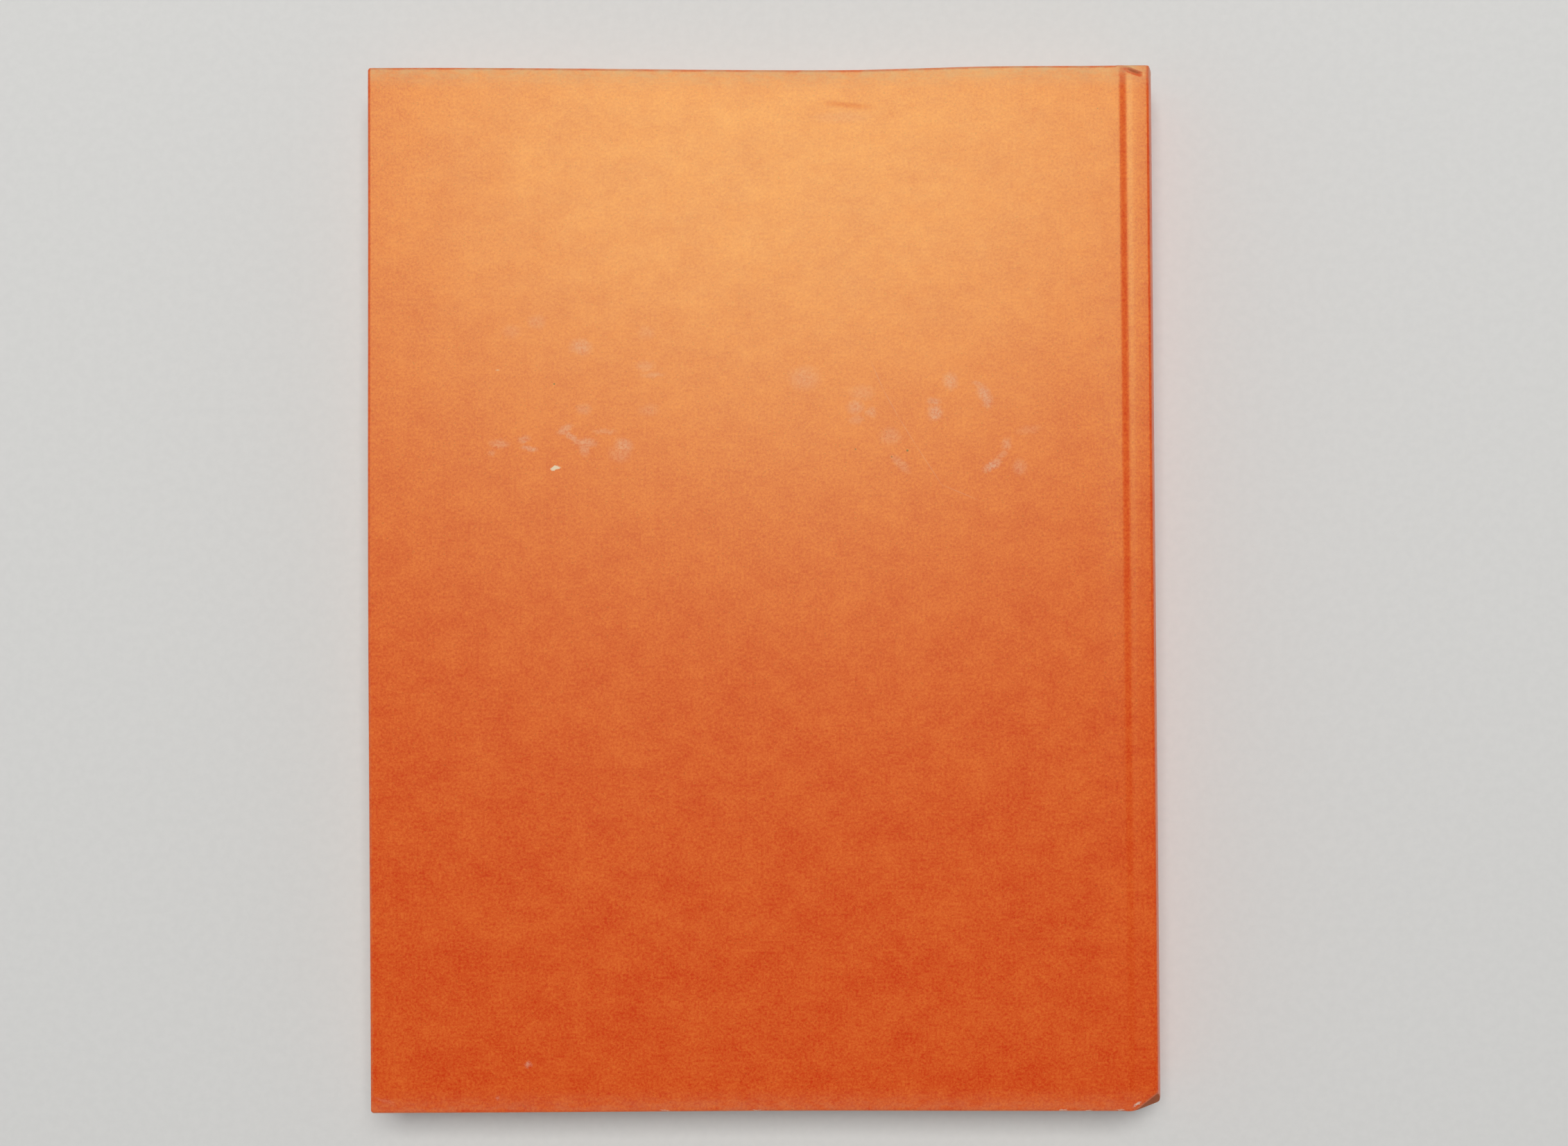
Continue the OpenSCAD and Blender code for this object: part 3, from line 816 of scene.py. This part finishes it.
# Finish of the covering: dyed paper with a thin warm varnish, worn pale at its edges and paler along the head edge,
# where the pale is partly a painted highlight, and darkened by painted shade and dull in the knocks on the spine.
# The clouds, the grain and the marks are laid out on the flat sheet, so that they follow it round the folds.
COVER_DEEP = (0.70, 0.030, 0.0, 1)
COVER_BRIGHT = (0.868, 0.151, 0.023, 1)
CLOUD_SCALE, CLOUD_GAIN = (66, 72, 1), 1.52
GRAIN_SCALE, GRAIN_GAIN = (1350, 1350, 1), 1.9
FLECK_SCALE, FLECK_STRENGTH = (720, 1250, 1), 0.35
FLECK_CORE, FLECK_KINDS = (0.24, 0.1), (0.3, 0.8)
WEAR_SCALE = (190, 500, 1)
WEAR_TONES, WEAR_SPREAD = (0.34, 0.66), (0.3, 1.1)
POLISH_SCALE, POLISH_RANGE = (70, 90, 1), 0.11
# The second dulling below and the strength after it belong to the painted shade in the knocks on the spine.
SCUFF_DULLING, PAINTED_SHADE_DULLING, EDGE_PALING_DULLING = 0.25, 0.5, 0.1
PAINTED_SHADE_STRENGTH = 0.6
RAGGED, RAGGED_SCALE = 2.4 * MM, 500.0
GRAIN_RELIEF, FLECK_RELIEF = 0.005 * MM, 0.4
FLECK_DARK = (0.40, 0.040, 0.002, 1)
# Pale of worn edges, used also for the painted highlight along the head edge.
RIM_WEAR_AND_HIGHLIGHT = (0.68, 0.36, 0.21, 1)
# Painted shade: the dark colour laid on the head fold and the tail facet for their shadow.
PAINTED_SHADE_DARK = (0.24, 0.035, 0.008, 1)
SCUFF_AND_HIGHLIGHT_PALE = (0.74, 0.69, 0.64, 1)
CHIP_PALE = (0.80, 0.76, 0.66, 1)
DOT_DARK = (0.10, 0.02, 0.008, 1)
WARM_SHEEN = (0.72, 1.0, 0.44, 1)
SHEEN_ROUGHNESS, SHEEN_LEVEL = 0.342, 0.745
cover_paper, tree, shader = new_material(
    "cover_paper", Roughness=SHEEN_ROUGHNESS, Specular_IOR_Level=SHEEN_LEVEL, Specular_Tint=WARM_SHEEN)
flat_map = add_node(tree, "UVMap", uv_map="flat").outputs["UV"]

# Dye of the paper: clouds of every size down to its grain, and short dark fibres.
clouds = fractal(tree, stretched(tree, flat_map, CLOUD_SCALE), scale=1, detail=3.5, roughness=0.95)
shade = math_node(tree, "MULTIPLY_ADD", clouds, CLOUD_GAIN, 0.5 - (CLOUD_GAIN + GRAIN_GAIN) / 2)
grain = fractal(tree, stretched(tree, flat_map, GRAIN_SCALE), scale=1, detail=1.2, roughness=0.9)
dyed = between(tree, math_node(tree, "MULTIPLY_ADD", grain, GRAIN_GAIN, shade), COVER_DEEP, COVER_BRIGHT)
fibre = add_node(tree, "TexVoronoi", {
    "Vector": stretched(tree, flat_map, FLECK_SCALE), "Scale": 1.0, "Randomness": 1.0})
fibre_kind = add_node(tree, "SeparateXYZ", {0: fibre.outputs["Color"]}).outputs["X"]
fibre_core = map_range(tree, fibre.outputs["Distance"], *FLECK_CORE)
fleck = math_node(tree, "MULTIPLY", fibre_core, map_range(tree, fibre_kind, *FLECK_KINDS))
dyed = between(tree, math_node(tree, "MULTIPLY", fleck, FLECK_STRENGTH), dyed, FLECK_DARK)

# Scuffs and chips: pale rubs and bare spots, each with its place, half length, half width, turn and strength.
# One long faint mark below the dent near the head is a painted highlight, not a scuff.
# Dots have a place and a radius. Lengths are in mm on the flat sheet.
SCUFFS_AND_HIGHLIGHT = (
    (-62.4, 73.5, 2.2, 1.6, 0, 0.07), (-50.3, 66.6, 2.6, 1.9, -10, 0.13), (-49.5, 49.5, 1.8, 1.2, 0, 0.09),
    (-69.3, 70.8, 2.2, 1.6, 0, 0.05), (-32.4, 70.4, 2.0, 1.5, 0, 0.05), (-32.8, 61.3, 2.2, 1.3, 0, 0.08),
    (-30.5, 58.8, 2.8, 0.7, 5, 0.09), (-31.7, 49.1, 2.4, 1.4, 0, 0.06), (-54.8, 43.9, 2.0, 0.9, 25, 0.14),
    (-53.0, 42.0, 2.2, 0.8, -35, 0.16), (-49.2, 40.3, 2.8, 1.1, -5, 0.15), (-49.5, 38.4, 1.3, 1.7, 0, 0.12),
    (-44.0, 43.3, 2.6, 0.7, 0, 0.10), (-38.7, 39.6, 2.2, 1.7, -20, 0.14), (-39.8, 37.1, 2.6, 1.8, 0, 0.08),
    (-66.1, 41.3, 1.5, 0.9, 10, 0.14), (-64.6, 38.7, 1.9, 0.7, -12, 0.18), (-72.7, 40.0, 2.3, 1.0, -5, 0.12),
    (-74.8, 37.7, 0.9, 0.7, 0, 0.10), (10.9, 57.8, 3.6, 2.8, 0, 0.09), (26.6, 53.8, 2.8, 1.8, 0, 0.07),
    (24.8, 49.9, 2.0, 1.8, 0, 0.12), (29.1, 48.5, 1.4, 1.3, 0, 0.11), (25.1, 46.4, 1.6, 1.1, 0, 0.09),
    (50.8, 56.9, 1.7, 2.0, 20, 0.15), (58.1, 56.1, 1.3, 0.7, -10, 0.12), (60.2, 53.1, 1.5, 2.8, 25, 0.17),
    (60.9, 51.1, 1.1, 1.4, 10, 0.15), (46.4, 51.3, 1.6, 0.9, 0, 0.13), (46.6, 48.1, 1.8, 1.7, 0, 0.18),
    (34.4, 41.7, 2.4, 2.0, 0, 0.08), (37.1, 34.3, 2.8, 1.1, -42, 0.09), (66.2, 39.6, 1.1, 1.6, -15, 0.12),
    (65.0, 36.6, 1.4, 0.8, 20, 0.10), (62.3, 33.8, 2.4, 1.0, 30, 0.19), (69.8, 33.3, 1.8, 1.8, 0, 0.09),
    (72.2, 43.5, 3.0, 1.0, 10, 0.05), (-65.3, -130.0, 0.9, 0.7, 15, 0.15), (-73.8, -139.0, 0.4, 0.35, 0, 0.12),
    # The first mark on the next line is a painted highlight: the pale patch below the dent near the head.
    (21.0, 130.0, 6.5, 1.4, 0, 0.05), (-104.6, -139.8, 2.4, 0.5, -20, 0.05), (100.6, -141.3, 1.1, 0.25, 25, 0.42),
)
CHIPS = (
    (-57.3, 33.4, 1.3, 0.5, 5, 0.75), (-73.1, 60.4, 0.5, 0.16, 5, 0.3), (-28.0, -142.9, 1.2, 0.18, 0, 0.4),
    (-2.6, -142.8, 0.9, 0.2, 0, 0.4), (81.0, -143.1, 1.2, 0.2, 0, 0.45), (88.0, -143.1, 0.9, 0.2, 3, 0.45),
    (96.0, -142.9, 0.9, 0.2, 5, 0.45),
)
DOTS = ((-57.7, 56.4, 0.24), (39.0, 37.9, 0.30), (34.7, 36.2, 0.2), (24.8, 38.3, 0.2), (91.9, 131.4, 0.14))
DOT_STRENGTH = 0.85
SCRATCH = ((29.3, 61.9), (32.5, 54.5), (36.7, 46.9), (41.3, 39.4), (48.4, 28.5), (58.1, 24.4))
SCRATCH_HALF_WIDTH, SCRATCH_STRENGTH = 0.11, 0.12
SCUFF_SOFT, CHIP_SOFT, DOT_SOFT, SCRATCH_SOFT = 0.6, 0.3, 0.3, 0.4
SCUFF_TONES, SCUFF_SPREAD = (0.35, 0.65), (0.6, 1.7)


def marks(tree, coordinates, table, soft):
    """The strongest of a table of round or long marks at each place, each fading out from its middle."""
    total = None
    for x, y, half_length, half_width, turn, strength in table:
        near = add_node(tree, "Mapping", {
            "Vector": coordinates, "Location": (x * MM, y * MM, 0), "Rotation": (0, 0, math.radians(turn)),
            "Scale": (half_length * MM, half_width * MM, 1)}, vector_type="TEXTURE").outputs["Vector"]
        away = add_node(tree, "VectorMath", {0: near}, operation="LENGTH").outputs["Value"]
        mark = map_range(tree, away, 1.0 + soft, 1.0 - soft, 0.0, strength)
        total = mark if total is None else math_node(tree, "MAXIMUM", total, mark)
    return total


smudge = add_node(tree, "TexNoise", {"Vector": flat_map, "Scale": RAGGED_SCALE, "Detail": 4.0, "Roughness": 0.7})
strayed = add_node(tree, "VectorMath", {0: smudge.outputs["Color"], 1: (0.5, 0.5, 0.5)}, operation="SUBTRACT")
ragged = add_node(tree, "VectorMath", {
    0: strayed.outputs["Vector"], 1: (RAGGED, RAGGED, 0), 2: flat_map}, operation="MULTIPLY_ADD").outputs["Vector"]
# Scuff marks, one of which is a painted highlight below the dent near the head.
scuffed_and_lit = math_node(
    tree, "MULTIPLY", marks(tree, ragged, SCUFFS_AND_HIGHLIGHT, SCUFF_SOFT), map_range(tree, grain, *SCUFF_TONES, *SCUFF_SPREAD))
chipped = marks(tree, ragged, CHIPS, CHIP_SOFT)
dotted = marks(tree, flat_map, [(x, y, r, r, 0, DOT_STRENGTH) for x, y, r in DOTS], DOT_SOFT)
segments = []
for (x0, y0), (x1, y1) in zip(SCRATCH, SCRATCH[1:]):
    half_length = math.hypot(x1 - x0, y1 - y0) / 2
    turn = math.degrees(math.atan2(y1 - y0, x1 - x0))
    segments.append(((x0 + x1) / 2, (y0 + y1) / 2, half_length, SCRATCH_HALF_WIDTH, turn, SCRATCH_STRENGTH))
scratched = marks(tree, flat_map, segments, SCRATCH_SOFT)
# Paling of the edges: wear everywhere, and at the head also a painted highlight.
rubbed_and_lit = add_node(tree, "Attribute", attribute_name="rub_and_highlight").outputs["Fac"]
wear = fractal(tree, stretched(tree, flat_map, WEAR_SCALE), scale=1, detail=5, roughness=0.75)
edge_paling = math_node(tree, "MULTIPLY", rubbed_and_lit, map_range(tree, wear, *WEAR_TONES, *WEAR_SPREAD))
# Scuffs, scratches and the one painted highlight below the dent are mixed to the same pale colour.
paled = math_node(tree, "MAXIMUM", scuffed_and_lit, scratched)
toned = between(tree, paled, between(tree, edge_paling, dyed, RIM_WEAR_AND_HIGHLIGHT), SCUFF_AND_HIGHLIGHT_PALE)
toned = between(tree, chipped, toned, CHIP_PALE)
toned = between(tree, dotted, toned, DOT_DARK)
# Painted shade: the head fold and the crushed tail facet are darkened in colour to stand for their shadow, and made
# rougher.
painted_shade_mask = add_node(tree, "Attribute", attribute_name="painted_shade").outputs["Fac"]
toned = between(tree, math_node(tree, "MULTIPLY", painted_shade_mask, PAINTED_SHADE_STRENGTH), toned, PAINTED_SHADE_DARK)
tree.links.new(toned, shader.inputs["Base Color"])

polish = fractal(tree, stretched(tree, flat_map, POLISH_SCALE), scale=1, detail=6, roughness=0.95)
rough = math_node(tree, "MULTIPLY_ADD", polish, POLISH_RANGE, SHEEN_ROUGHNESS - POLISH_RANGE / 2)
for dulled, dulling in ((paled, SCUFF_DULLING), (painted_shade_mask, PAINTED_SHADE_DULLING), (edge_paling, EDGE_PALING_DULLING)):
    rough = math_node(tree, "MULTIPLY_ADD", dulled, dulling, rough)
tree.links.new(rough, shader.inputs["Roughness"])
tooth = fractal(tree, flat_map, scale=1500, detail=4)
pitted = math_node(tree, "SUBTRACT", tooth, math_node(tree, "MULTIPLY", fleck, FLECK_RELIEF))
add_bump(tree, shader, pitted, GRAIN_RELIEF)

TAIL_BAND, DENT_BAND, HEAD_BAND = -136 * MM, 124 * MM, 137 * MM
BACK_COLUMN_STEPS, BACK_ROW_STEPS = (8, 110, 10), (24, 120, 28, 28)
FRONT_COLUMN_STEPS, FRONT_ROW_STEPS = (5, 60, 6), (8, 76, 4, 8)
row_stops = [-half_case + EDGE_INSET, TAIL_BAND, DENT_BAND, HEAD_BAND, half_case - EDGE_INSET]
back_case = case_half("back_case", False, BACK_COLUMN_STEPS, graded(row_stops, BACK_ROW_STEPS), cover_paper)
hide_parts("back_cover_paper", "spine_cover_paper", "spine_inlay")
front_case = case_half("front_case", True, FRONT_COLUMN_STEPS, graded(row_stops, FRONT_ROW_STEPS), cover_paper)
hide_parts("front_cover_paper")


# Studio: a pale paper floor under the book, which runs into the backdrop far from it for what the camera sees.
# A broad lamp hangs high beyond the head of the book, and a soft light comes from all round, less from overhead.
# The camera looks straight down on the back cover, a little more than half a metre above it.
FLOOR_PALE = (0.76, 0.79, 0.84, 1)
FLOOR_BRIGHT = (0.78, 0.81, 0.86, 1)
FLOOR_TONES = (0.3, 0.7)
FLOOR_HALF = 3.0
FLOOR_DROP = 0.1 * MM
FLOOR_NEAR, FLOOR_FAR = 0.45, 1.4
FILL = (1.0, 0.97, 0.94, 1)
HORIZON, HORIZON_STRENGTH = 0.1, 0.6
OVERHEAD, OVERHEAD_STRENGTH = 0.75, 0.12
floor_paper, tree, shader = new_material("floor", Roughness=0.9, Specular_IOR_Level=0.1)
coordinates = add_node(tree, "TexCoord").outputs["Object"]
floor_grain = map_range(tree, fractal(tree, coordinates, scale=400, detail=3), *FLOOR_TONES)
tree.links.new(between(tree, floor_grain, FLOOR_PALE, FLOOR_BRIGHT), shader.inputs["Base Color"])
away = add_node(tree, "VectorMath", {0: coordinates}, operation="LENGTH").outputs["Value"]
rays = add_node(tree, "LightPath").outputs
mirrored = math_node(tree, "MAXIMUM", rays["Is Glossy Ray"], rays["Is Transmission Ray"])
seen = math_node(tree, "MAXIMUM", rays["Is Camera Ray"], mirrored)
fading = math_node(tree, "MULTIPLY", map_range(tree, away, FLOOR_NEAR, FLOOR_FAR), seen)
backdrop = add_node(tree, "Emission", {"Color": FILL, "Strength": HORIZON_STRENGTH}).outputs["Emission"]
faded = add_node(tree, "MixShader", {0: fading, 1: shader.outputs["BSDF"], 2: backdrop})
tree.links.new(faded.outputs["Shader"], tree.nodes["Material Output"].inputs["Surface"])
bm = bmesh.new()
bmesh.ops.create_grid(bm, x_segments=2, y_segments=2, size=FLOOR_HALF)
bmesh.ops.translate(bm, verts=bm.verts, vec=(0, 0, -FLOOR_DROP))
add_piece("floor", bm, floor_paper)

PHOTO_W = 2261
PX_PER_MM = 5.265
CAMERA_X, CAMERA_Y, CAMERA_RISE = 5.1 * MM, 4.46 * MM, 540 * MM
CAMERA_TURN = math.radians(-0.17)
SENSOR_W = 36.0
camera_data = bpy.data.cameras.new("camera")
camera_data.sensor_width = SENSOR_W
camera_data.lens = SENSOR_W * CAMERA_RISE / (PHOTO_W / PX_PER_MM * MM)
camera = bpy.data.objects.new("camera", camera_data)
camera.location = (CAMERA_X, CAMERA_Y, case_top + CAMERA_RISE)
camera.rotation_euler = (0, 0, CAMERA_TURN)
bpy.context.scene.collection.objects.link(camera)
bpy.context.scene.camera = camera

LAMP_PLACE = (-0.014, 0.613, 2.0)
LAMP_W, LAMP_H = 1.15, 0.79
LAMP_POWER = 30.3
LAMP_WARM = (1.0, 0.955, 0.86)
lamp_data = bpy.data.lights.new("head_lamp", "AREA")
lamp_data.shape = "RECTANGLE"
lamp_data.size, lamp_data.size_y = LAMP_W, LAMP_H
lamp_data.energy = LAMP_POWER
lamp_data.color = LAMP_WARM
lamp = bpy.data.objects.new("head_lamp", lamp_data)
lamp.location = LAMP_PLACE
lamp.rotation_euler = (Vector((0, 0, case_top)) - lamp.location).to_track_quat("-Z", "Y").to_euler()
bpy.context.scene.collection.objects.link(lamp)

world = bpy.data.worlds.new("studio")
bpy.context.scene.world = world
world.use_nodes = True
tree = world.node_tree
upward = add_node(tree, "SeparateXYZ", {0: add_node(tree, "TexCoord").outputs["Generated"]}).outputs["Z"]
background = tree.nodes["Background"]
background.inputs["Color"].default_value = FILL
strength = map_range(tree, upward, HORIZON, OVERHEAD, HORIZON_STRENGTH, OVERHEAD_STRENGTH)
tree.links.new(strength, background.inputs["Strength"])
bpy.context.scene.view_settings.view_transform = "Standard"
